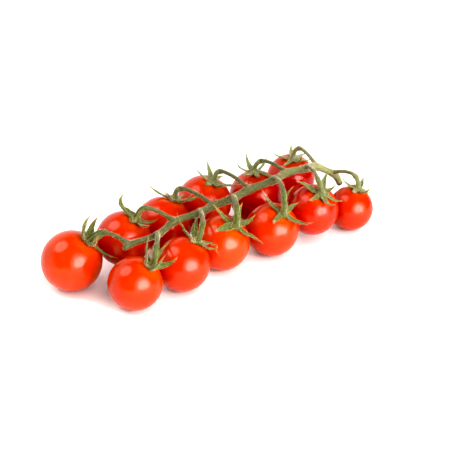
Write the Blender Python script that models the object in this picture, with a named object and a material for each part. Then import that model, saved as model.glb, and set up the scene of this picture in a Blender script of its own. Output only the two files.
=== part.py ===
"""A truss of twelve cherry tomatoes, lying as it was picked.

The main stem runs along +X from its tip to its cut end. The tomatoes hang on it by turns at the
back and at the front, and rest on z = 0. Each has a stalk that leaves the main stem at a node,
bends at a knuckle and ends in a calyx of pointed sepals. The stalks up to their knuckles grow
from the main stem as one piece. From the knuckle on, stalk and calyx are one piece with the sepals.
"""

import math
from dataclasses import dataclass

import bmesh
import bpy
import numpy as np
from mathutils import Matrix, Vector

MM = 0.001
GAP = 0.3  # between pieces that touch on the real truss, mm
SHARP_ANGLE = 45.0  # edges that turn more than this stay crisp, degrees
SEED = 12  # for the small differences between sepals

# The middle of the truss's box in the layout below, mm. It becomes the origin.
CENTRE_X = -4.3
CENTRE_Y = -1.0

# A tomato. Lengths are shares of its radius, and angles are in degrees, unless a line says otherwise.
FLAT_SPOT_DEPTH = 0.35  # how far the skin is pressed flat where it rests, mm
DIMPLE_DEPTH = 0.085
DIMPLE_ANGLE = 17.0
TOMATO_RINGS = 12
TOMATO_SIDES = 20
FACET_ALLOWANCE = 1.006  # makes up for the roundness that flat facets lose

# The main stem, mm.
STEM_RADII = ((0, 1.15), (0.45, 1.8), (0.8, 1.8), (1, 1.75))  # by share of the way from tip to cut end
NODE_SWELLING = 0.45
NODE_LENGTH = 3.2
STEM_STEP = 3.6
STEM_SIDES = 8

# A stalk, mm. Its near part runs from the main stem to the knuckle, its far part on into the calyx.
NEAR_RADII = ((0, 1.35), (0.25, 0.95), (0.75, 0.95), (1, 1.5))
FAR_RADII = ((0, 1.5), (0.35, 1.2), (0.7, 1.2), (1, 2.2))
NEAR_POINTS = 8
FAR_POINTS = 6
STALK_SIDES = 8
COLLAR = 0.8  # a stalk runs straight this far before an end
NEAR_ARCH = 0.65  # how strongly a stalk keeps its directions at its ends, as a share of its length
FAR_ARCH = 1.0
LEAVING_RISE = 0.9  # how far a stalk leans up from its way to the knuckle as it leaves the main stem

# A calyx: its hub sits in the dimple, and its sepals spread from the hub. Sizes in mm.
HUB_RADIUS = 3.1
HUB_HEIGHT = 1.1
HUB_SIDES = 8
HUB_PROFILE = ((0.6, -0.35), (1.0, 0.1), (0.85, 0.65), (0.5, 1.0))  # shares of its radius and height
HUB_SEAT = 0.965  # height of the hub's centre above the tomato's, as a share of its radius
SEPAL_ROOT = 1.1  # how far from the hub's middle a sepal begins, inside the hub
SEPAL_ROOT_LIFT = 20.0  # and how far above the skin's lie, degrees
SEPAL_WIDTHS = ((0, 0.85), (0.2, 1), (0.6, 0.58), (1, 0.16))  # shares of the widest, from root to tip
SEPAL_SPREAD = 0.05  # how much wider or narrower than that a sepal may be, as a share
SEPAL_THICKNESS = 0.8
SEPAL_THICKNESSES = ((0, 1.3), (0.5, 1), (1, 0.8))
SEPAL_STATIONS = 6
SEPAL_START = -8.0  # lift with which a flat sepal leaves the hub, degrees
SEPAL_RISE = 0.25  # what a raised sepal adds to that, as a share of its lift
SEPAL_BOW = 0.5  # where it begins to turn up, as a share of its length
SEPAL_TROUGH = 0.16  # how far the edges rise, as a share of the half width
ROOM_OVER_SKIN = 0.75


@dataclass
class Tomato:
    """One tomato of the truss. Places are in mm, angles in degrees."""

    across: tuple  # x and y of its centre
    diameter: float
    lift: float  # gap between it and the surface
    tilt: float  # its stem end leans this far from straight up
    bearing: float  # and towards this direction, counted from +X towards +Y
    node: tuple  # where its stalk leaves the main stem
    knuckle: tuple  # where its stalk bends
    sepals: tuple  # each sepal's turn about the stalk, lift off the skin, length and width


TRUSS = [
    Tomato((-80.5, 11.5), 30.0, 0.0, 39, -45, (-62.5, -13.0, 28.0), (-69.0, -0.5, 31.5),
           ((125, 58, 15, 4.4), (60, 38, 14, 5.2), (10, 30, 13, 3.2), (-60, 10, 16, 2.8), (-125, 52, 12, 4.4),
            (165, 50, 13, 4.4))),
    Tomato((-65.5, -22.5), 26.0, 0.0, 39, -48, (-46.0, -12.5, 28.0), (-56.0, -27.0, 30.5),
           ((95, 40, 15, 3.2), (170, 50, 13, 3.8), (40, 45, 15, 3.8), (-135, 70, 14, 3.2), (-15, 40, 15, 4.2))),
    Tomato((-51.2, 11.3), 28.0, 3.9, 31, -58, (-33.5, -8.0, 29.5), (-44.4, 0.6, 36.7),
           ((97, 11, 16, 4.8), (125, 18, 11, 3.4), (35, 10, 13, 3.2), (-90, 35, 13, 3.0), (-155, 40, 12, 3.6),
            (-30, 20, 12, 3.0))),
    Tomato((-38.0, -21.5), 27.2, 0.0, 34, -18, (-17.5, -7.5, 29.5), (-25.5, -21.0, 31.0),
           ((125, 25, 17, 2.8), (-160, 15, 13, 3.0), (-80, 10, 14, 3.0), (-25, 20, 14, 3.2), (68, 30, 17, 5.4))),
    Tomato((-22.9, 18.1), 29.9, 0.0, 24, -12, (-7.0, -4.0, 29.0), (-15.4, 12.9, 34.9),
           ((135, 10, 17, 2.8), (80, -5, 11, 3.4), (25, 10, 12, 3.4), (-30, 30, 16, 4.0), (-80, 35, 14, 4.0),
            (-150, 25, 13, 3.4))),
    Tomato((-10.1, -16.0), 28.8, 0.0, 34, -74, (5.5, -4.5, 30.0), (-5.5, -22.0, 35.0),
           ((180, 0, 14, 4.6), (122, 20, 16, 3.2), (0, 20, 13, 3.8), (-60, 10, 17, 3.6), (56, 22, 14, 4.8))),
    Tomato((7.1, 23.5), 30.5, 1.5, 24, -67, (17.0, -3.5, 31.5), (10.5, 13.3, 37.9),
           ((85, 30, 14, 4.0), (140, 25, 14, 3.0), (20, 5, 11, 3.0), (-45, 20, 16, 3.4), (-105, 35, 12, 3.4),
            (-160, 25, 14, 3.2))),
    Tomato((20.0, -19.5), 28.4, 0.0, 33, -88, (32.5, -6.0, 34.0), (22.0, -25.5, 36.5),
           ((115, 15, 17, 3.4), (-160, 15, 14, 4.0), (15, 15, 12, 4.2), (-55, 15, 17, 3.6), (55, 50, 16, 2.8))),
    Tomato((37.8, 16.0), 30.4, 0.0, 4, 152, (42.5, -3.5, 34.5), (38.0, 12.4, 37.4),
           ((80, 35, 14, 4.0), (135, 30, 13, 2.8), (-165, 20, 13, 3.2), (-115, 10, 12, 3.4), (-60, -5, 14, 3.2),
            (0, 35, 14, 2.6))),
    Tomato((48.2, -20.0), 27.7, 3.5, 30, -100, (56.5, -5.0, 34.5), (46.5, -24.5, 37.0),
           ((125, 10, 15, 3.8), (45, 30, 14, 4.4), (0, 20, 11, 3.4), (-50, -5, 12, 3.4), (-105, 25, 14, 3.2),
            (-170, 15, 12, 3.2))),
    Tomato((70.5, 24.0), 28.7, 0.5, 16, -121, (66.0, -2.0, 32.0), (68.0, 15.0, 37.0),
           ((60, 5, 13, 3.6), (140, 15, 14, 2.8), (0, 5, 11, 3.0), (-45, 10, 12, 3.0), (-95, 45, 13, 3.0),
            (-160, 15, 13, 3.0))),
    Tomato((74.0, -23.0), 24.8, 0.0, 14, -57, (77.5, -4.0, 25.5), (77.0, -22.0, 30.0),
           ((30, 12, 13, 5.0), (88, -5, 11, 2.8), (140, 30, 13, 2.8), (-160, 20, 12, 3.2), (-105, 35, 13, 3.2),
            (-35, -5, 9, 2.8))),
]
STEM_TIP = (-64.5, -14.0, 26.0)
CUT_END = ((80.0, -4.2, 23.0), (83.0, -4.5, 18.0))


def unit(v):
    """v at a length of one."""
    v = np.asarray(v, float)
    return v / np.linalg.norm(v)


def along(shares, table):
    """Values at shares of the way along something, between the (share, value) pairs of a table."""
    return np.interp(shares, *zip(*table))


def axis_of(tomato):
    """The direction from the tomato's centre to its calyx."""
    tilt, bearing = math.radians(tomato.tilt), math.radians(tomato.bearing)
    level = math.sin(tilt)
    return np.array([level * math.cos(bearing), level * math.sin(bearing), math.cos(tilt)])


def centre_of(tomato):
    """The tomato's centre: its radius above the surface, less the flat spot that it rests on."""
    gap = tomato.lift if tomato.lift > 0 else -FLAT_SPOT_DEPTH
    return np.array([*tomato.across, tomato.diameter / 2 + gap])


def hub_of(tomato):
    """The middle of the calyx's hub."""
    return centre_of(tomato) + axis_of(tomato) * tomato.diameter / 2 * HUB_SEAT


def side_axes(axis):
    """Two directions square to axis: the first is +X laid flat against it, the second completes the turn."""
    first = unit(np.array([1.0, 0, 0]) - axis[0] * axis)
    return first, np.cross(axis, first)


def smooth_path(points, step):
    """Points about a step apart on a Catmull-Rom curve through the given ones."""
    points = np.asarray(points, float)
    ends = np.vstack([2 * points[0] - points[1], points, 2 * points[-1] - points[-2]])
    out = []
    for a, b, c, d in zip(ends, ends[1:], ends[2:], ends[3:]):
        count = max(2, round(np.linalg.norm(c - b) / step))
        t = np.arange(count)[:, None] / count
        out.append(0.5 * (2 * b + (c - a) * t + (2 * a - 5 * b + 4 * c - d) * t**2
                          + (3 * b - a - 3 * c + d) * t**3))
    return np.vstack(out + [points[-1:]])


def bend(start, start_way, end, end_way, arch, count):
    """Points on a Hermite curve that leaves start along start_way and reaches end along end_way."""
    t = np.linspace(0, 1, count)[:, None]
    pull = arch * np.linalg.norm(end - start)
    return ((2 * t**3 - 3 * t**2 + 1) * start + (t**3 - 2 * t**2 + t) * pull * start_way
            + (3 * t**2 - 2 * t**3) * end + (t**3 - t**2) * pull * end_way)


def material(name, colour, roughness):
    """A Principled material of one colour."""
    made = bpy.data.materials.new(name)
    made.use_nodes = True
    shader = made.node_tree.nodes["Principled BSDF"]
    shader.inputs["Base Color"].default_value = (*colour, 1.0)
    shader.inputs["Roughness"].default_value = roughness
    shader.inputs["Metallic"].default_value = 0.0
    return made


def add_object(name, mesh, finish=None):
    """A new object for the mesh, in the material if one is given."""
    if finish:
        mesh.materials.clear()
        mesh.materials.append(finish)
        mesh.shade_smooth()
        mesh.set_sharp_from_angle(angle=math.radians(SHARP_ANGLE))
    made = bpy.data.objects.new(name, mesh)
    bpy.context.scene.collection.objects.link(made)
    return made


def tube(name, path, radii, sides):
    """A mesh tube with filled ends along a path in mm, its radius changing from point to point."""
    curve = bpy.data.curves.new(name, "CURVE")
    curve.dimensions = "3D"
    curve.bevel_depth = MM
    curve.bevel_resolution = (sides - 4) // 2
    curve.use_fill_caps = True
    spline = curve.splines.new("POLY")
    spline.points.add(len(path) - 1)
    for point, place, radius in zip(spline.points, path, radii):
        point.co = (*(place * MM), 1.0)
        point.radius = radius
    guide = bpy.data.objects.new(name + "_guide", curve)
    bpy.context.scene.collection.objects.link(guide)
    mesh = bpy.data.meshes.new_from_object(guide)
    bpy.data.objects.remove(guide)
    bpy.data.curves.remove(curve)
    bm = bmesh.new()
    bm.from_mesh(mesh)
    bmesh.ops.remove_doubles(bm, verts=bm.verts[:], dist=1e-7)
    bmesh.ops.recalc_face_normals(bm, faces=bm.faces[:])
    bm.to_mesh(mesh)
    bm.free()
    return add_object(name, mesh)


def loft(name, sections):
    """A closed mesh through a list of closed sections, each a row of points in mm."""
    bm = bmesh.new()
    rings = [[bm.verts.new(Vector(p) * MM) for p in section] for section in sections]
    for ring, following in zip(rings, rings[1:]):
        for i in range(len(ring)):
            j = (i + 1) % len(ring)
            bm.faces.new((ring[i], ring[j], following[j], following[i]))
    bm.faces.new(reversed(rings[0]))
    bm.faces.new(rings[-1])
    bmesh.ops.triangulate(bm, faces=bm.faces[:])
    bmesh.ops.recalc_face_normals(bm, faces=bm.faces[:])
    mesh = bpy.data.meshes.new(name)
    bm.to_mesh(mesh)
    bm.free()
    return add_object(name, mesh)


def fuse(name, first, others, finish, solver="EXACT"):
    """Joins the others to the first by one Boolean union, and removes them."""
    group = bpy.data.collections.new(name + "_pieces")
    bpy.context.scene.collection.children.link(group)
    for piece in others:
        group.objects.link(piece)
    union = first.modifiers.new("Union", "BOOLEAN")
    union.operation = "UNION"
    union.operand_type = "COLLECTION"
    union.collection = group
    union.solver = solver
    bpy.context.view_layer.update()
    graph = bpy.context.evaluated_depsgraph_get()
    mesh = bpy.data.meshes.new_from_object(first.evaluated_get(graph))
    for piece in [first, *others]:
        bpy.data.objects.remove(piece)
    bpy.data.collections.remove(group)
    mesh.name = name
    return add_object(name, mesh, finish)


def tomato_profile(radius):
    """Half outline from the stem end to the blossom end: a circle with a dimple at the stem end."""
    angles = np.linspace(0, math.pi, TOMATO_RINGS + 1)
    dimple = DIMPLE_DEPTH * np.exp(-((angles / math.radians(DIMPLE_ANGLE)) ** 2))
    size = radius * FACET_ALLOWANCE * (1 - dimple)
    return np.column_stack([size * np.sin(angles), np.zeros(angles.size), size * np.cos(angles)])


def add_tomato(number, tomato, finish):
    """A round fruit turned about its own axis, with a dimple on top, and cut flat where it rests."""
    profile = tomato_profile(tomato.diameter / 2)
    axis = axis_of(tomato)
    turned = Matrix((*side_axes(axis), axis)).transposed().to_4x4()
    placed = Matrix.Translation(centre_of(tomato) * MM) @ turned
    bm = bmesh.new()
    points = [bm.verts.new(Vector(p) * MM) for p in profile]
    edges = [bm.edges.new(pair) for pair in zip(points, points[1:])]
    bmesh.ops.spin(bm, geom=points + edges, axis=(0, 0, 1), cent=(0, 0, 0), steps=TOMATO_SIDES,
                   angle=2 * math.pi, use_merge=True)
    bmesh.ops.remove_doubles(bm, verts=bm.verts[:], dist=1e-6)
    if tomato.lift == 0:
        surface, down = placed.inverted().translation, turned.inverted() @ Vector((0, 0, -1))
        cut = bmesh.ops.bisect_plane(bm, geom=bm.verts[:] + bm.edges[:] + bm.faces[:], dist=1e-7,
                                     plane_co=surface, plane_no=down, clear_outer=True)
        rim = [e for e in cut["geom_cut"] if isinstance(e, bmesh.types.BMEdge)]
        bmesh.ops.contextual_create(bm, geom=rim)
    bmesh.ops.recalc_face_normals(bm, faces=bm.faces[:])
    mesh = bpy.data.meshes.new(f"tomato_{number:02d}")
    bm.to_mesh(mesh)
    bm.free()
    fruit = add_object(mesh.name, mesh, finish)
    fruit.location, fruit.rotation_euler = placed.translation, turned.to_euler()
    return fruit


def knuckle_way(tomato):
    """The direction in which the stalk passes its knuckle, halfway through its bend."""
    knuckle = np.array(tomato.knuckle)
    return unit(unit(knuckle - np.array(tomato.node)) + unit(hub_of(tomato) - knuckle))


def near_stalk(tomato):
    """The stalk's path from inside the main stem to just short of the knuckle."""
    node, knuckle = np.array(tomato.node), np.array(tomato.knuckle)
    way = knuckle_way(tomato)
    leaving = unit(unit(knuckle - node) + np.array([0, 0, LEAVING_RISE]))
    end = knuckle - way * GAP / 2
    return np.vstack([bend(node, leaving, end - way * COLLAR, way, NEAR_ARCH, NEAR_POINTS - 1), end])


def far_stalk(tomato):
    """The stalk's path from just past the knuckle down into the calyx's hub."""
    way, axis = knuckle_way(tomato), axis_of(tomato)
    start, end = np.array(tomato.knuckle) + way * GAP / 2, hub_of(tomato)
    curve = bend(start + way * COLLAR, way, end + axis * COLLAR, -axis, FAR_ARCH, FAR_POINTS - 2)
    return np.vstack([start, curve, end])


def stem_points():
    """The points that the main stem runs through, from its tip to its cut end."""
    return [STEM_TIP, *(t.node for t in TRUSS), *CUT_END]


def stem_radius(path):
    """Thin at the tip, thickest past the middle, and swollen at each node."""
    radii = along(np.linspace(0, 1, len(path)), STEM_RADII)
    nodes = np.array([t.node for t in TRUSS])
    nearest = np.linalg.norm(path[:, None] - nodes, axis=2).min(axis=1)
    return radii + NODE_SWELLING * np.exp(-((nearest / NODE_LENGTH) ** 2))


def add_main_stem(finish):
    """The main stem with the near part of each stalk grown from it."""
    path = smooth_path(stem_points(), STEM_STEP)
    stem = tube("stem", path, stem_radius(path), STEM_SIDES)
    radii = along(np.linspace(0, 1, NEAR_POINTS), NEAR_RADII)
    stalks = [tube(f"stalk_{i}", near_stalk(t), radii, STALK_SIDES) for i, t in enumerate(TRUSS)]
    return fuse("main_stem", stem, stalks, finish)


def clear_of_skins(points):
    """Points moved straight out of any tomato that they come too close to."""
    for tomato in TRUSS:
        centre = centre_of(tomato)
        room = tomato.diameter / 2 + ROOM_OVER_SKIN
        away = points - centre
        distance = np.linalg.norm(away, axis=1, keepdims=True)
        points = centre + away * np.maximum(1, room / distance)
    return points


def sepal_line(tomato, turn, lift, length):
    """A sepal's middle line, curving up from the hub to its tip and kept off the skins."""
    axis = axis_of(tomato)
    first, second = side_axes(axis)
    turn = math.radians(turn)
    outward = first * math.cos(turn) + second * math.sin(turn)

    def reach(angle, distance):
        angle = math.radians(angle)
        return hub_of(tomato) + distance * (outward * math.cos(angle) + axis * math.sin(angle))

    t = np.linspace(0, 1, SEPAL_STATIONS)[:, None]
    root, tip = reach(SEPAL_ROOT_LIFT, SEPAL_ROOT), reach(lift, length)
    bow = reach(SEPAL_START + SEPAL_RISE * lift, length * SEPAL_BOW)
    line = (1 - t) ** 2 * root + 2 * t * (1 - t) * bow + t**2 * tip
    return np.vstack([root, clear_of_skins(line[1:])])


def add_sepal(name, tomato, turn, lift, length, width):
    """A long pointed blade with a shallow trough, widest near its root."""
    line = sepal_line(tomato, turn, lift, length)
    ways = np.gradient(line, axis=0)
    ways /= np.linalg.norm(ways, axis=1, keepdims=True)
    outwards = line - centre_of(tomato)
    across = np.cross(outwards, ways)
    across /= np.linalg.norm(across, axis=1, keepdims=True)
    up = np.cross(ways, across)
    shares = np.linspace(0, 1, SEPAL_STATIONS)
    halves = width / 2 * along(shares, SEPAL_WIDTHS)
    depths = SEPAL_THICKNESS / 2 * along(shares, SEPAL_THICKNESSES)
    sections = []
    for place, side, rise, half, depth in zip(line, across, up, halves, depths):
        edge = place + rise * half * SEPAL_TROUGH
        sections.append([edge + side * half, place + rise * depth,
                         edge - side * half, place - rise * depth])
    return loft(name, sections)


def add_hub(name, tomato):
    """A low domed disc in the dimple, which the stalk flares into."""
    axis = axis_of(tomato)
    first, second = side_axes(axis)
    turns = np.arange(HUB_SIDES) / HUB_SIDES * 2 * math.pi
    sections = []
    for share, height in HUB_PROFILE:
        middle = hub_of(tomato) + axis * height * HUB_HEIGHT
        ring = [middle + HUB_RADIUS * share * (first * math.cos(a) + second * math.sin(a)) for a in turns]
        sections.append(ring)
    return loft(name, sections)


def add_calyx(number, tomato, finish, draw):
    """The far part of the stalk, the hub and the sepals, grown as one piece."""
    name = f"calyx_{number:02d}"
    radii = along(np.linspace(0, 1, FAR_POINTS), FAR_RADII)
    neck = tube(name + "_neck", far_stalk(tomato), radii, STALK_SIDES)
    pieces = [add_hub(name + "_hub", tomato)]
    for i, (turn, lift, length, width) in enumerate(tomato.sepals):
        width *= draw.uniform(1 - SEPAL_SPREAD, 1 + SEPAL_SPREAD)
        pieces.append(add_sepal(f"{name}_sepal_{i}", tomato, turn, lift, length, width))
    # The sepals cross each other at slight angles in the hub, which only this solver joins cleanly.
    return fuse(name, neck, pieces, finish, solver="MANIFOLD")


def main():
    for old in list(bpy.data.objects):
        bpy.data.objects.remove(old)
    truss = bpy.data.objects.new("truss", None)
    truss.location = (-CENTRE_X * MM, -CENTRE_Y * MM, 0)
    bpy.context.scene.collection.objects.link(truss)
    skin = material("tomato_skin", (0.72, 0.03, 0.01), 0.2)
    bark = material("stem_green", (0.12, 0.19, 0.06), 0.7)
    leaf = material("sepal_green", (0.13, 0.2, 0.04), 0.6)
    draw = np.random.default_rng(SEED)
    made = [add_main_stem(bark)]
    for number, tomato in enumerate(TRUSS, start=1):
        made.append(add_tomato(number, tomato, skin))
        made.append(add_calyx(number, tomato, leaf, draw))
    for piece in made:
        piece.parent = truss


main()
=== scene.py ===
"""A truss of twelve cherry tomatoes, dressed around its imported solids.

Every visible piece is a closed surface made of rings between two end points. Its points are worked
out in millimetres in the layout that the solids were drawn in, and then moved to the frame's own
origin. The tomatoes, the main stem and the calyxes each stand for the solid of the same name.
"""

import math
from dataclasses import dataclass

import bpy
import numpy as np
from bpy.props import FloatProperty, FloatVectorProperty, PointerProperty
from bpy.types import Operator, Panel, PropertyGroup
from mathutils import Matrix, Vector


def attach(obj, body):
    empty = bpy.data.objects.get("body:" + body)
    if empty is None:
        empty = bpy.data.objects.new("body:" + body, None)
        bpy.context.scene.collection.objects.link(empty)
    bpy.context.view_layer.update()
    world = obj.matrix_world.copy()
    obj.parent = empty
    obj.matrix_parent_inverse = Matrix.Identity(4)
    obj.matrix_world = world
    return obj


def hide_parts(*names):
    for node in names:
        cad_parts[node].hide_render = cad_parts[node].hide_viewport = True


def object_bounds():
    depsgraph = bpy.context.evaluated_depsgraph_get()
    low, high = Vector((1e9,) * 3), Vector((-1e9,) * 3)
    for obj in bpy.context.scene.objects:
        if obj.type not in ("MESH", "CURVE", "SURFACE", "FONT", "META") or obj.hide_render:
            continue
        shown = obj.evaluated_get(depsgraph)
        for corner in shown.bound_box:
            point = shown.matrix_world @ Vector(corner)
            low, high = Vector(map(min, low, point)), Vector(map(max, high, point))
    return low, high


bl_info = {
    "name": "Tomato Truss",
    "version": (1, 0, 0),
    "blender": (4, 5, 0),
    "location": "3D View > Sidebar > Truss",
    "description": "Builds a truss of cherry tomatoes with its stem, calyxes and fuzz",
    "category": "Add Mesh",
}

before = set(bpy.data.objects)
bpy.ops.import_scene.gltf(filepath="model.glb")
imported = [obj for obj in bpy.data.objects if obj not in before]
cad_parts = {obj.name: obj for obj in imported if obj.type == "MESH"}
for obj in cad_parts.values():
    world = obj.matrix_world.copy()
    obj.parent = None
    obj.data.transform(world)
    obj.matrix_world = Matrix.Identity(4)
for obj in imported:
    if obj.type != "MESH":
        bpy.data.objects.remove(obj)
CAD_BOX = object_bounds()

MM = 0.001
LAYOUT_CENTRE = (-4.3, -1.0, 0.0)  # the layout's point that is the frame's origin, mm

# How finely the surfaces are divided.
FRUIT_TURNS = 96
FRUIT_RINGS = 64
STEM_TURNS = 28
STEM_STEP = 0.7  # mm
ARCH_POINTS = 60  # on a stalk's curve, which is then divided again into its rings
STALK_TURNS = 20
STALK_RINGS = 44
END_FINENESS = 2.2  # how much closer together a stalk's rings lie near its ends
HUB_TURNS = 40
BLADE_RINGS = 30
BLADE_COLUMNS = 9  # from one edge of a sepal to the other
TEXTURE_LENGTH = 100  # mm of a stem or stalk that the second texture coordinate grows by one over

# A tomato. Depths are shares of its radius, and angles are degrees from its stem end.
FLAT_SPOT_DEPTH = 0.35  # mm
DIMPLE_DEPTH = 0.085
DIMPLE_ANGLE = 17.0
PUCKERS = 5
PUCKER_ANGLE = 26.0
PUCKER_SPREAD = 14.0
PUCKER_DEPTH = 0.5  # share of the skin's unevenness
HUB_SEAT = 0.965  # where the calyx's hub stands, on the axis

# The stem and the stalks, mm.
STEM_RADII = ((0, 1.15), (0.45, 1.8), (0.8, 1.8), (1, 1.75))  # by share of the way to the cut end
STEM_BULGES = 9  # slow ones, from end to end
STEM_BULGE = 0.025  # share of its radius
STEM_RIDGE = 0.035  # share of its radius
NODE_SWELLING = 0.45
NODE_LENGTH = 3.2
STALK_RADIUS = 0.95
STALK_RIDGE = 0.03  # share of its radius
STALK_AGE = 0.9  # share of the main stem's age at its node
STALK_FLARE = 0.85
STALK_FLARE_LENGTH = 2.4
KNUCKLE_SWELLING = 0.5
KNUCKLE_LENGTH = 1.7
KNUCKLE_OVERLAP = 0.25  # how far the two rounded ends of a stalk reach into each other
NECK_RADIUS = 1.2
NECK_KNUCKLE_SWELLING = 0.28
FOOT_SWELLING = 1.3
FOOT_LENGTH = 1.7
ROUNDED_END = 0.45
FIRST_RING = 0.02  # share of the rounded end that its first ring is made for, so that it has a width
COLLAR = 0.8  # straight length at a knuckle and at a hub
NEAR_ARCH = 0.65  # how wide a stalk's curve swings before its knuckle
FAR_ARCH = 1.0  # and after it
LEAVING_RISE = 0.9  # how steeply a stalk leaves the main stem
RIDGES = ((5, 2), (3, 3))  # how many run along, and how far their phase wanders, in radians

# A calyx, mm and degrees.
HUB_RADIUS = 3.0
HUB_HEIGHT = 1.1
# From its underside to its top: shares of its radius and of its height.
HUB_PROFILE = ((0.5, -0.2), (0.85, 0.0), (1.0, 0.25), (0.95, 0.5), (0.8, 0.75), (0.55, 1.0), (0.3, 1.3))
HUB_TOP = 1.4  # share of its height at which the dome closes
HUB_CORE = 0.6  # share of its radius that stays round
HUB_RIM = 0.78  # reach of its rim between two sepals, share of its radius
HUB_LOBE = 0.4  # how much further the rim reaches under a sepal
HUB_LOBE_SPREAD = 0.4  # radians
HUB_GREEN = 0.05  # it is coloured as this first share of a sepal
NECK_DRYNESS = 0.5
SEPAL_ROOT = 1.1
SEPAL_ROOT_LIFT = 20.0
SEPAL_WIDTHS = ((0, 0.8), (0.25, 1), (0.55, 0.74), (0.8, 0.36), (1, 0.06))  # by share of its length
SEPAL_TIP_WIDTHS = (0.07, 0.035)  # at its last two rings
SEPAL_POINT = 0.15  # how far its point stands past the last ring
SEPAL_START = -8.0  # angle over the skin of its curve's middle point, where its lift is nought
SEPAL_RISE = 0.25  # share of its lift by which that angle grows
SEPAL_BOW = 0.5  # share of its length at which the middle point stands
IN_HUB = 0.08  # share of its length that stays in the hub, however near the skin is
ROOM_OVER_SKIN = 0.4

# How sepals differ, drawn at random between two values. Bends are shares of a sepal's length.
SEPAL_BREADTHS = (0.95, 1.05)
LEAST_BENDS = (-0.09, -0.13, -0.02)  # sway of the middle, and curl of the tip to a side and upwards
MOST_BENDS = (0.09, 0.13, 0.13)
CURL_START = 0.6  # share of the length
MOST_TWIST = 60  # degrees, on a sepal no wider than the next value. Wider ones twist less
SLIM_SEPAL = 3  # mm
TWIST_POWER = 1.6  # so that it twists mostly near the tip
ROLLS_AT_ROOT = (0.5, 0.9)  # half angle of its cross-section's arc, radians
ROLLS_ADDED = (0.3, 1.2)  # towards the tip
RIPPLE = 0.48  # share of its width. It shows a quarter of that halfway along, and less to either end
RIPPLE_PACE = 1.5  # slowest waves along it

# A sepal's cross-section. Its columns run from -1 at one edge to 1 at the other.
EDGE_THINNING = 0.6  # share of its thickness that is lost at its edges
THICKENING = 1.3  # share of its full thickness for each mm of its half width, until it is whole
RIB_HEIGHT = 0.28  # mm, below the blade
RIB_FADING = 0.8  # share of it that is lost by the tip
GROOVE_DEPTH = 0.1  # mm, above the rib
RIB_SPREAD = 0.2

# The fuzz.
HAIR_RADIUS = 0.035  # mm, thicker than a real hair, so that it shows
HAIR_LEAN = 0.35  # typical lean from the normal, share of a hair's length
HAIR_SPREAD = 0.35  # of the natural logarithm of its length

# Random draws start from these.
FRUIT_SEED = 5
STEM_SEED = 7
CALYX_SEED = 12

# The size or spacing of each material's pattern, mm.
RED_PATCH = 100 / 7
SHOULDER_STREAK = 10 / 7
PRICK_SPACING = 10 / 9  # the pricks are wider and further apart than real ones, so that they show
WAX_PATCH = 4.0
FELT_GRAIN = 0.4  # coarser than the real felt, so that it shows
SEPAL_MOTTLE = 5 / 3
PAINT_PATCH = 25.0
STREAKS_ROUND = 14  # round the main stem, so about 0.8 mm apart
STREAKS_ALONG = 18  # in TEXTURE_LENGTH, so about 5.6 mm long
VEINS = 4.5  # on each side of a sepal

# The calyxes grow paler in this direction, from the first value to the second, metres from the origin.
PALING_WAY = (0.5, 0.85, 0.0)
PALING_START = -0.015
PALING_END = 0.06
MOST_PALING = 0.55

# The floor, metres.
FLOOR_REACH = 0.75
FLOOR_GAP = 0.00002

# The light. Each direction is from the truss, and sizes and distances are in metres.
BRIGHT_WAY = (-0.05, 0.75, -0.66)
HALF_BLEND = 0.2  # the bright side blends into the dim side over this much to each side of the middle
KEY_WAY = (0.05, -0.97, 0.22)
KEY_SIZE = 0.86
KEY_DISTANCE = 1.0
SURROUND_SIZE = 1.5  # of the dimmer ring round the key, just behind it
SURROUND_DISTANCE = 1.01
SURROUND_SHARE = 0.35
TOP_WAY = (-0.45, 0.28, 0.85)
TOP_SIZE = 0.75
TOP_DISTANCE = 1.0
FILL_WAY = (0.25, -0.55, 0.8)
FILL_SIZE = 1.9
FILL_DISTANCE = 1.5

# The camera stands where the photograph's stood, in the frame's metres and in degrees.
CAMERA_PLACE = (-0.2339, -0.3215, 0.2148)
CAMERA_HEADING = -36.9  # turned from +Y towards +X
CAMERA_PITCH = -26.55
CAMERA_LENS = 68.0
CAMERA_SENSOR = 36.0
NEAREST_SEEN = 0.01  # metres
EXPOSURE = 0.4
VIEW_GAMMA = 0.72  # below one, so the midtones get darker
BLACK_POINT = 0.025


@dataclass
class Tomato:
    """One tomato of the truss. Places are in mm, angles in degrees."""

    across: tuple  # x and y of its centre
    diameter: float
    lift: float  # gap between it and the surface
    tilt: float  # its stem end leans this far from straight up
    bearing: float  # and towards this direction, counted from +X towards +Y
    node: tuple  # where its stalk leaves the main stem
    knuckle: tuple  # where its stalk bends
    # Each sepal's turn about the stalk, lift off the skin, length and width. Some also have the shares
    # of their length by which the middle sways and the tip curls to a side, and their twist.
    sepals: tuple


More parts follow.
